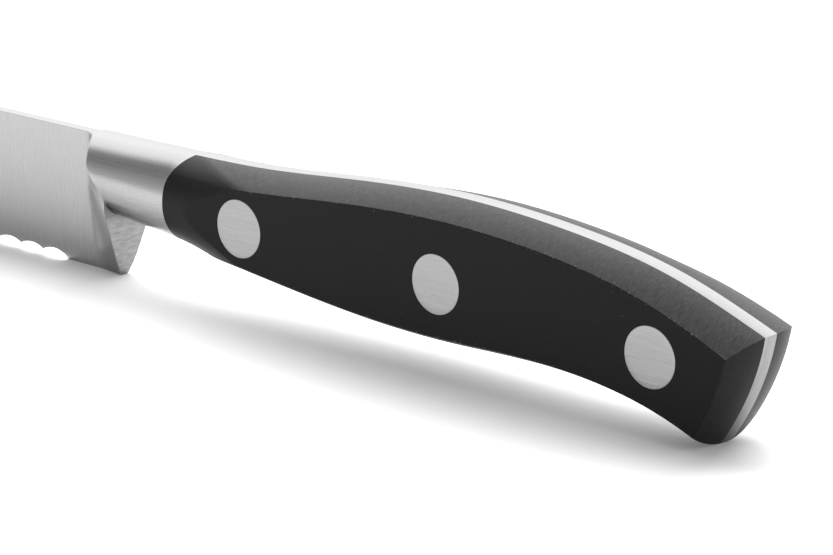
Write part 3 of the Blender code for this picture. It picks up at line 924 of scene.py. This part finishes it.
    def dress(self, pieces: list[bpy.types.Object]) -> None:
        """Give the forging its finishes, in the order of their slots."""
        finishes = {
            Finish.BLADE: GroundSteel(
                "steel_ground_across_blade", stroke=(0.2, 6.0, 30.0), scratch_depth=0.0003,
                roughness_spread=0.05),
            Finish.NECK: GroundSteel(
                "steel_ground_along_neck", stroke=(40.0, 0.3, 0.3), scratch_depth=0.00018,
                roughness_spread=0.03),
            Finish.GUARD: GroundSteel(
                "steel_ground_on_guard", stroke=(4.0, 1.6, 0.38), scratch_depth=0.005,
                colour="#a4a4a4", line_colour="#545454", roughness=0.38),
            Finish.TANG: GroundSteel("steel_ground_along_tang", stroke=(7.0, 0.16, 3.0)),
            Finish.BUTT: GroundSteel(
                "steel_ground_on_butt", stroke=(4.0, 0.26, 3.5),
                colour="#b2b2b2", line_colour="#4e4e4e", roughness=0.38),
        }
        for piece in pieces:
            for finish in Finish:
                piece.data.materials.append(finishes[finish].material())


@dataclass
class Scale:
    """A grip scale of black plastic beside the tang."""

    grip: GripForm
    side: Side
    columns: Columns = Columns(tang=4, crown=22, crease=8, side=24)
    sharp: float = 30.0
    hairline: float = 0.012
    front_share: float = 0.17
    front_steps: int = 90
    steps: int = 130
    end_columns: int = 16
    butt_ground: float = 0.12
    sink: float = 0.03
    roll_drop: float = 0.36
    roll_width: float = 2.6
    roll_rise: float = 7.0
    roll_end: float = 72.0
    roll_fade: float = 24.0
    seat_depth: float = 1.55
    seat_gap: float = 0.015
    seat_over: float = 1.0
    seat_steps: int = 96

    @property
    def node(self) -> str:
        """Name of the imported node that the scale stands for."""
        return f"scale_{self.side.name.lower()}"

    def build(self) -> list[bpy.types.Object]:
        """Make the scale: outer skin, flat inner face, joint end and crowned butt end."""
        form, columns = self.grip, self.columns
        joint = form.joint_base(self.side, columns) + self.hairline
        fore = np.linspace(0.0, self.front_share, self.front_steps, endpoint=False)
        aft = np.linspace(self.front_share, 1.0, self.steps + 1)
        base = joint + (BUTT_X - joint) * np.concatenate([fore, aft])[:, None]
        keep = slice(columns.tang, columns.count - columns.tang)
        wear = form.section(base, self.side, columns)[2][:, keep]
        outer = form.rows(base, self.side, columns)[:, keep]
        wall = form.half_tang + self.hairline
        outer[..., 1] = np.maximum(outer[..., 1], wall)
        outer[..., 2] = self.settled(outer)
        inner = outer.copy()
        inner[..., 1] = wall
        inner[..., 0] = form.place(base[:, keep], inner[..., 1], inner[..., 2])
        joint_end, butt_end = (
            bridge(inner[row], outer[row], self.end_columns) for row in (0, -1))
        butt_end[..., 0] = BUTT_X + form.butt_offset(butt_end[..., 1], butt_end[..., 2])
        plain = np.broadcast_to([self.butt_ground, 0.0], wear.shape).copy()
        plain[:, [0, -1]] = wear[:, [0, -1]]
        work = Patchwork()
        work.add(self.mirrored(outer), wear=wear)
        work.add(self.mirrored(inner), wear=plain)
        for grid, row in ((joint_end, 0), (butt_end, -1)):
            rim = np.repeat(plain[row][:, None], self.end_columns + 1, axis=1)
            rim[:, -1] = wear[row]
            work.add(self.mirrored(grid), wear=rim)
        piece = add_piece(work.mesh(self.sharp), self.node)
        self.cut_seats(piece)
        return [piece]

    def settled(self, outer: np.ndarray) -> np.ndarray:
        """Heights of the outer points: the right scale stands back a hair and rolls off the tang.

        The roll-off goes with the sine of the way from the tang and the square of the height over
        the middle, from behind the joint to about the middle rivet.

        Args:
            outer: Points on the outer skin, rows by columns by 3.

        Returns:
            Heights, rows by columns.
        """
        x, y, z = np.moveaxis(outer, -1, 0)
        if self.side is Side.LEFT:
            return z
        top, low = z.max(axis=1, keepdims=True), z.min(axis=1, keepdims=True)
        height = (2.0 * z - top - low) / (top - low)
        away = np.clip((y - self.grip.half_tang) / self.roll_width, 0.0, 1.0)
        reach = smooth((x - self.grip.joint_x) / self.roll_rise)
        reach = reach * smooth((self.roll_end - x) / self.roll_fade)
        bend = np.sin(away * QUARTER_TURN) * np.clip(height, 0.0, None) ** 2
        return z - self.sink * height - self.roll_drop * reach * bend

    def mirrored(self, grid: np.ndarray) -> np.ndarray:
        """Put points whose y is counted from the tang's plane on the scale's side."""
        return grid * np.array([1.0, self.side.value, 1.0])

    def cut_seats(self, piece: bpy.types.Object) -> None:
        """Bore the flat side for the rivets' heads: round seats turned about each rivet's axis."""
        depths = np.array([self.grip.half - self.seat_depth, self.grip.half + self.seat_over])
        depths = depths[[0, 0, 1, 1]] * self.side.value
        for name in RIVET_NAMES:
            x, z, radius = rivet_place(name)
            radii = (radius + self.seat_gap) * np.array([0.0, 1.0, 1.0, 0.0])
            cutter = turned(radii, depths, (x, z), self.seat_steps)
            tool = bpy.data.objects.new("seat", cutter)
            bpy.context.collection.objects.link(tool)
            bore = piece.modifiers.new("seat", "BOOLEAN")
            bore.operation, bore.solver, bore.object = "DIFFERENCE", "EXACT", tool
            result = piece.evaluated_get(bpy.context.evaluated_depsgraph_get())
            bored = bpy.data.meshes.new_from_object(result)
            piece.modifiers.remove(bore)
            old, piece.data = piece.data, bored
            bpy.data.meshes.remove(old)
            bored.name = piece.name
            bored.set_sharp_from_angle(angle=math.radians(self.sharp))
            bpy.data.objects.remove(tool)
            bpy.data.meshes.remove(cutter)

    def dress(self, pieces: list[bpy.types.Object]) -> None:
        """Give the scale its plastic."""
        for piece in pieces:
            piece.data.materials.clear()
            piece.data.materials.append(BlackPlastic().material())


def turned(radii: np.ndarray, depths: np.ndarray, axis: tuple[float, float], steps: int,
           sharp: float = 30.0) -> bpy.types.Mesh:
    """Turn a profile about an axis along y: x and z are radius times cosine and sine of the turn.

    Args:
        radii: The profile's distances from the axis, from 0 to 0.
        depths: The profile's y.
        axis: x and z of the axis.
        steps: Points on a full turn.
        sharp: Angle from which an edge is drawn sharp, in degrees.

    Returns:
        The closed mesh.
    """
    turn = np.linspace(0.0, 2.0 * math.pi, steps, endpoint=False)
    x = axis[0] + radii[:, None] * np.cos(turn)
    z = axis[1] + radii[:, None] * np.sin(turn)
    work = Patchwork()
    work.add(np.stack([x, np.broadcast_to(depths[:, None], x.shape), z], axis=-1), ring=True)
    return work.mesh(sharp)


@dataclass
class Rivet:
    """A cutler's rivet: a half with a tube from the left and a half with a pin from the right."""

    name: str
    grip: GripForm
    head_thickness: float = 1.5
    rim_rounding: float = 0.09
    rim_steps: int = 5
    face_steps: int = 5
    proud: float = 0.01
    tube_diameter: float = 5.0
    tube_wall: float = 1.0
    press_gap: float = 0.02
    end_gap: float = 1.0
    steps: int = 112

    def profile(self, radius: float,
                shank: list[tuple[float, float]]) -> tuple[np.ndarray, np.ndarray]:
        """Profile of one half from the middle of its face round the rim to its shank.

        Args:
            radius: The head's radius.
            shank: Radii and depths below the face that follow the head's seat.

        Returns:
            Radii, and depths below the face.
        """
        turn = np.linspace(0.0, QUARTER_TURN, self.rim_steps)
        rim = self.rim_rounding
        face = np.linspace(0.0, radius - rim, self.face_steps + 1)[:-1]
        shank_radii, shank_depths = zip(*shank)
        radii = [face, radius - rim + rim * np.sin(turn), [radius], shank_radii]
        depths = [face * 0.0, rim - rim * np.cos(turn), [self.head_thickness], shank_depths]
        return np.concatenate(radii), np.concatenate(depths)

    def build(self) -> list[bpy.types.Object]:
        """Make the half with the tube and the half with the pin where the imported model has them."""
        x, z, radius = rivet_place(self.name)
        face = self.grip.half + self.proud
        seat = self.head_thickness
        end = 2.0 * face - seat - self.end_gap
        outer = self.tube_diameter / 2
        inner = outer - self.tube_wall
        core = inner - self.press_gap
        tube = [(outer, seat), (outer, end), (inner, end), (inner, seat), (0.0, seat)]
        pin = [(core, seat), (core, end), (0.0, end)]
        halves = []
        for half, shank, side in (("head", tube, Side.LEFT), ("pin", pin, Side.RIGHT)):
            radii, depths = self.profile(radius, shank)
            mesh = turned(radii, (face - depths) * side.value, (x, z), self.steps)
            halves.append(add_piece(mesh, f"{self.name}_{half}"))
        return halves

    def dress(self, pieces: list[bpy.types.Object]) -> None:
        """Give both halves the steel that was ground flush along the grip."""
        steel = GroundSteel(
            "steel_ground_on_rivets", stroke=(6.0, 1.0, 0.2), scratch_depth=0.001,
            colour="#a4a4a4", line_colour="#828282", roughness=0.32)
        for piece in pieces:
            piece.data.materials.append(steel.material())


def linear(colour: str) -> tuple[float, float, float, float]:
    """Turn an sRGB hex colour into linear red, green and blue light and full opacity."""
    channels = np.array([int(colour[i:i + 2], 16) for i in (1, 3, 5)]) / 255
    curve = ((channels + 0.055) / 1.055) ** 2.4
    light = np.where(channels <= 0.04045, channels / 12.92, curve)
    return (*(float(value) for value in light), 1.0)


def feed(node: bpy.types.Node, inputs: dict[str | int, object]) -> None:
    """Set inputs to values, or link them to sockets or to the first output in use of nodes."""
    for name, value in inputs.items():
        if isinstance(value, bpy.types.Node):
            value = next(socket for socket in value.outputs if socket.enabled)
        if isinstance(value, bpy.types.NodeSocket):
            node.id_data.links.new(value, node.inputs[name])
        else:
            node.inputs[name].default_value = value


def add_node(tree: bpy.types.NodeTree, kind: str, inputs: dict[str | int, object] | None = None,
             **settings: object) -> bpy.types.Node:
    """Add a node to a tree.

    Args:
        tree: The node tree.
        kind: Blender's name of the node's class.
        inputs: What its inputs are fed.
        settings: Properties of the node.

    Returns:
        The node.
    """
    node = tree.nodes.new(kind)
    for name, value in settings.items():
        setattr(node, name, value)
    feed(node, inputs or {})
    return node


def new_material(name: str) -> tuple[bpy.types.Material, bpy.types.Node]:
    """Make a material with one Principled shader, and return both."""
    material = bpy.data.materials.get(name) or bpy.data.materials.new(name)
    material.use_nodes = True
    material.node_tree.nodes.clear()
    shader = add_node(material.node_tree, "ShaderNodeBsdfPrincipled")
    add_node(material.node_tree, "ShaderNodeOutputMaterial", {"Surface": shader})
    return material, shader


def stretched_noise(tree: bpy.types.NodeTree, cell: tuple[float, float, float], detail: float,
                    roughness: float) -> bpy.types.NodeSocket:
    """Noise in the piece's coordinates.

    Args:
        tree: The node tree.
        cell: Sizes of one of its cells along x, y and z in millimetres.
        detail: Finer layers of the noise.
        roughness: How much each finer layer counts.

    Returns:
        The socket with its values.
    """
    place = add_node(tree, "ShaderNodeTexCoord").outputs["Object"]
    per_metre = tuple(1.0 / (size * MM) for size in cell)
    along = add_node(tree, "ShaderNodeMapping", {"Vector": place, "Scale": per_metre})
    return add_node(tree, "ShaderNodeTexNoise", {
        "Vector": along, "Scale": 1.0, "Detail": detail, "Roughness": roughness}).outputs["Fac"]


@dataclass(frozen=True)
class GroundSteel:
    """Stainless steel ground with a fine abrasive belt.

    To the eye: a grey satin metal whose fine parallel scratches draw faint lines and blur what it
    mirrors. The stroke is the size of a scratch along x, y and z in millimetres. Real scratches
    are about 0.02 mm wide, too fine to show, so they are drawn 8 to 20 times as wide.
    """

    name: str
    stroke: tuple[float, float, float]
    colour: str = "#a6a6a6"
    line_colour: str = "#9c9c9c"
    # Colour that the painted shade darkens towards.
    scale_colour: str = "#686868"
    roughness: float = 0.26
    roughness_spread: float = 0.07
    satin_dulling: float = 0.18
    scratch_depth: float = 0.0006
    line_detail: float = 3.0
    line_roughness: float = 0.62

    def material(self) -> bpy.types.Material:
        """Make the finish; satin dulls it, and painted shade and light darken or lighten it."""
        material, shader = new_material(self.name)
        tree = material.node_tree
        lines = stretched_noise(tree, self.stroke, self.line_detail, self.line_roughness)
        satin, scale, painted_light = (
            add_node(tree, "ShaderNodeAttribute", attribute_name=name).outputs["Fac"]
            for name in ("satin", "scale", "painted_light"))
        shade = add_node(tree, "ShaderNodeMix", {
            "Factor": lines, "A": linear(self.line_colour), "B": linear(self.colour)},
            data_type="RGBA")
        # Painted light: the colour times one plus its share.
        painted_gain = add_node(tree, "ShaderNodeMath", {0: painted_light, 1: 1.0}, operation="ADD")
        painted_lit = add_node(tree, "ShaderNodeVectorMath", {0: shade, "Scale": painted_gain}, operation="SCALE")
        # Painted shade: the colour darkens towards the shade colour by its share.
        deep = add_node(tree, "ShaderNodeMix", {
            "Factor": scale, "A": painted_lit, "B": linear(self.scale_colour)}, data_type="RGBA")
        dull = add_node(tree, "ShaderNodeMapRange", {
            "Value": lines, **NOISE_BAND, "To Min": self.roughness - self.roughness_spread,
            "To Max": self.roughness + self.roughness_spread})
        blur = add_node(tree, "ShaderNodeMath", {
            0: satin, 1: self.satin_dulling, 2: dull}, operation="MULTIPLY_ADD")
        bump = add_node(tree, "ShaderNodeBump", {
            "Height": lines, "Strength": 1.0, "Distance": self.scratch_depth * MM})
        feed(shader, {"Base Color": deep, "Roughness": blur, "Normal": bump, "Metallic": 1.0})
        return material


@dataclass(frozen=True)
class BlackPlastic:
    """Black acetal, injection-moulded and then ground across its crowns flush with the tang.

    To the eye: a deep satin black on the sides, and paler cross strokes with a few light nicks on
    the crowns. Real strokes are about 0.05 mm wide, too fine to show, so these are 0.14 mm wide.
    """

    name: str = "acetal_black_moulded"
    colour: str = "#0b0b0b"
    ground_colour: str = "#4e4e4e"
    nick_colour: str = "#8a8a8a"
    roughness: float = 0.42
    ground_roughness: float = 0.48
    stroke: tuple[float, float, float] = (0.14, 0.9, 0.9)
    stroke_detail: float = 3.0
    stroke_roughness: float = 0.6
    stroke_share: float = 0.5
    stroke_depth: float = 0.003
    grain: tuple[float, float, float] = (0.22, 0.22, 0.22)
    grain_detail: float = 2.0
    grain_roughness: float = 0.5
    grain_depth: float = 0.002
    nick_edge: float = 0.12
    nick_from: float = 0.74
    nick_full: float = 0.82
    ior: float = 1.48
    specular: float = 0.12

    def material(self) -> bpy.types.Material:
        """Make the plastic; ground says where it was ground, and edge where it is nicked."""
        material, shader = new_material(self.name)
        tree = material.node_tree
        strokes = stretched_noise(tree, self.stroke, self.stroke_detail, self.stroke_roughness)
        grain = stretched_noise(tree, self.grain, self.grain_detail, self.grain_roughness)
        ground, edge = (
            add_node(tree, "ShaderNodeAttribute", attribute_name=name).outputs["Fac"]
            for name in ("ground", "edge"))
        cover = add_node(tree, "ShaderNodeMapRange", {
            "Value": strokes, **NOISE_BAND, "To Min": 1.0 - self.stroke_share})
        amount = add_node(tree, "ShaderNodeMath", {0: ground, 1: cover}, operation="MULTIPLY")
        shade = add_node(tree, "ShaderNodeMix", {
            "Factor": amount, "A": linear(self.colour), "B": linear(self.ground_colour)},
            data_type="RGBA")
        rough_edge = add_node(tree, "ShaderNodeMath", {
            0: edge, 1: self.nick_edge, 2: grain}, operation="MULTIPLY_ADD")
        nicks = add_node(tree, "ShaderNodeMapRange", {
            "Value": rough_edge, "From Min": self.nick_from, "From Max": self.nick_full})
        worn = add_node(tree, "ShaderNodeMix", {
            "Factor": nicks, "A": shade, "B": linear(self.nick_colour)}, data_type="RGBA")
        dull = add_node(tree, "ShaderNodeMapRange", {
            "Value": ground, "To Min": self.roughness, "To Max": self.ground_roughness})
        relief = add_node(tree, "ShaderNodeBump", {
            "Height": grain, "Strength": 1.0, "Distance": self.grain_depth * MM})
        bump = add_node(tree, "ShaderNodeBump", {
            "Height": amount, "Strength": 1.0, "Distance": self.stroke_depth * MM,
            "Normal": relief})
        feed(shader, {
            "Base Color": worn, "Roughness": dull, "Normal": bump, "IOR": self.ior,
            "Specular IOR Level": self.specular})
        return material


@dataclass(frozen=True)
class WhiteCard:
    """Matt white card under the knife: an even pale ground that takes soft shadows."""

    name: str = "card_white_matt"
    colour: str = "#f7f7f7"
    roughness: float = 0.9
    specular: float = 0.1

    def material(self) -> bpy.types.Material:
        """Make the card."""
        material, shader = new_material(self.name)
        feed(shader, {
            "Base Color": linear(self.colour), "Roughness": self.roughness,
            "Specular IOR Level": self.specular})
        return material


@dataclass
class Studio:
    """White floor, light tent with a dark front wall, and the camera.

    Bands are parts of the way a ray takes (its x, y or z) over which the light changes.
    """

    floor_half: float = 2.0
    azimuth: float = 42.68192
    elevation: float = 16.715168
    roll: float = -0.22
    lens: float = 178.77
    sensor: float = 36.0
    clips: tuple[float, float] = (0.01, 20.0)
    camera_place: tuple[float, float, float] = (401.7918, -375.9524, 164.1472)
    back_levels: tuple[float, float] = (1.35, 2.3)
    back_band: tuple[float, float] = (0.05, 0.5)
    right_levels: tuple[float, float] = (1.0, 0.45)
    right_band: tuple[float, float] = (-0.3, 0.3)
    front_levels: tuple[float, float] = (1.05, 0.41)
    front_band: tuple[float, float] = (0.0, 0.5)
    turn_band: tuple[float, float] = (-0.26, 0.06)
    roof: float = 0.35
    roof_band: tuple[float, float] = (0.74, 0.88)
    key: float = 6.0
    key_way: tuple[float, float, float] = (-0.75, 0.95, 1.0)
    key_angle: float = 80.0

    def build(self) -> None:
        """Make the floor, the light and the camera."""
        self.build_floor()
        self.build_light()
        self.build_camera()

    def build_floor(self) -> None:
        """Lay the floor at height 0."""
        corners = np.array([[-1, -1, 0], [1, -1, 0], [1, 1, 0], [-1, 1, 0]]) * self.floor_half
        mesh = bpy.data.meshes.new("floor")
        mesh.from_pydata(corners, [], [range(len(corners))])
        mesh.materials.append(WhiteCard().material())
        floor = bpy.data.objects.new("floor", mesh)
        bpy.context.collection.objects.link(floor)

    def build_light(self) -> None:
        """Light the scene by a tent, bright behind and dim above and in front, and a soft box."""
        scene = bpy.context.scene
        scene.world = bpy.data.worlds.new("tent")
        scene.world.use_nodes = True
        tree = scene.world.node_tree
        tree.nodes.clear()
        way = add_node(tree, "ShaderNodeTexCoord").outputs["Generated"]
        parts = add_node(tree, "ShaderNodeSeparateXYZ", {0: way}).outputs
        share = (0.0, 1.0)
        ramps = (
            ("Z", self.roof_band, share, "SMOOTHSTEP"),
            ("Y", self.turn_band, share, "SMOOTHSTEP"),
            ("Z", self.front_band, self.front_levels, "LINEAR"),
            ("Z", self.back_band, self.back_levels, "LINEAR"),
            ("X", self.right_band, self.right_levels, "SMOOTHSTEP"),
        )
        roof, turn, front, back, right = (
            add_node(tree, "ShaderNodeMapRange", {
                "Value": parts[axis], "From Min": band[0], "From Max": band[1],
                "To Min": levels[0], "To Max": levels[1]}, interpolation_type=ease)
            for axis, band, levels, ease in ramps)
        behind = add_node(tree, "ShaderNodeMath", {0: back, 1: right}, operation="MULTIPLY")
        wall = add_node(tree, "ShaderNodeMix", {"Factor": turn, "A": front, "B": behind})
        level = add_node(tree, "ShaderNodeMix", {"Factor": roof, "A": wall, "B": self.roof})
        glow = add_node(tree, "ShaderNodeBackground", {
            "Color": linear("#ffffff"), "Strength": level})
        add_node(tree, "ShaderNodeOutputWorld", {"Surface": glow})
        scene.view_settings.view_transform = "Standard"
        data = bpy.data.lights.new("soft_box", "SUN")
        data.energy, data.angle = self.key, math.radians(self.key_angle)
        box = bpy.data.objects.new("soft_box", data)
        box.rotation_euler = Vector(self.key_way).to_track_quat("Z", "Y").to_euler()
        box.visible_glossy = False
        bpy.context.collection.objects.link(box)

    def build_camera(self) -> None:
        """Set the camera where the photograph was taken from."""
        azimuth, elevation, roll = (
            math.radians(angle) for angle in (self.azimuth, self.elevation, self.roll))
        turn = Matrix.Rotation(azimuth, 4, "Z") @ Matrix.Rotation(QUARTER_TURN - elevation, 4, "X")
        place = Matrix.Translation(np.array(self.camera_place) * MM + HEEL)
        data = bpy.data.cameras.new("camera")
        data.sensor_width, data.lens = self.sensor, self.lens
        data.clip_start, data.clip_end = self.clips
        camera = bpy.data.objects.new("camera", data)
        camera.matrix_world = place @ turn @ Matrix.Rotation(roll, 4, "Z")
        bpy.context.collection.objects.link(camera)
        bpy.context.scene.camera = camera


@dataclass
class Knife:
    """The knife's pieces, in the order in which they are put together."""

    grip: GripForm = field(default_factory=GripForm)
    blade: BladeForm = field(default_factory=BladeForm)

    def build(self) -> None:
        """Make, dress and log every piece."""
        parts: list[Forging | Scale | Rivet] = [
            Forging(self.grip, self.blade),
            *(Scale(self.grip, side) for side in Side),
            *(Rivet(name, self.grip) for name in RIVET_NAMES),
        ]
        for part in parts:
            pieces = part.build()
            part.dress(pieces)
            for piece in pieces:
                report(piece)


def report(piece: bpy.types.Object) -> None:
    """Log a finished piece with its number of triangles."""
    piece.data.calc_loop_triangles()
    log.info("%s: %d triangles", piece.name, len(piece.data.loop_triangles))


def main() -> None:
    """Build the studio and the knife."""
    logging.basicConfig(level=logging.INFO, format="%(name)s %(message)s")
    Studio().build()
    Knife().build()
    bpy.context.view_layer.update()


if __name__ == "__main__":
    main()
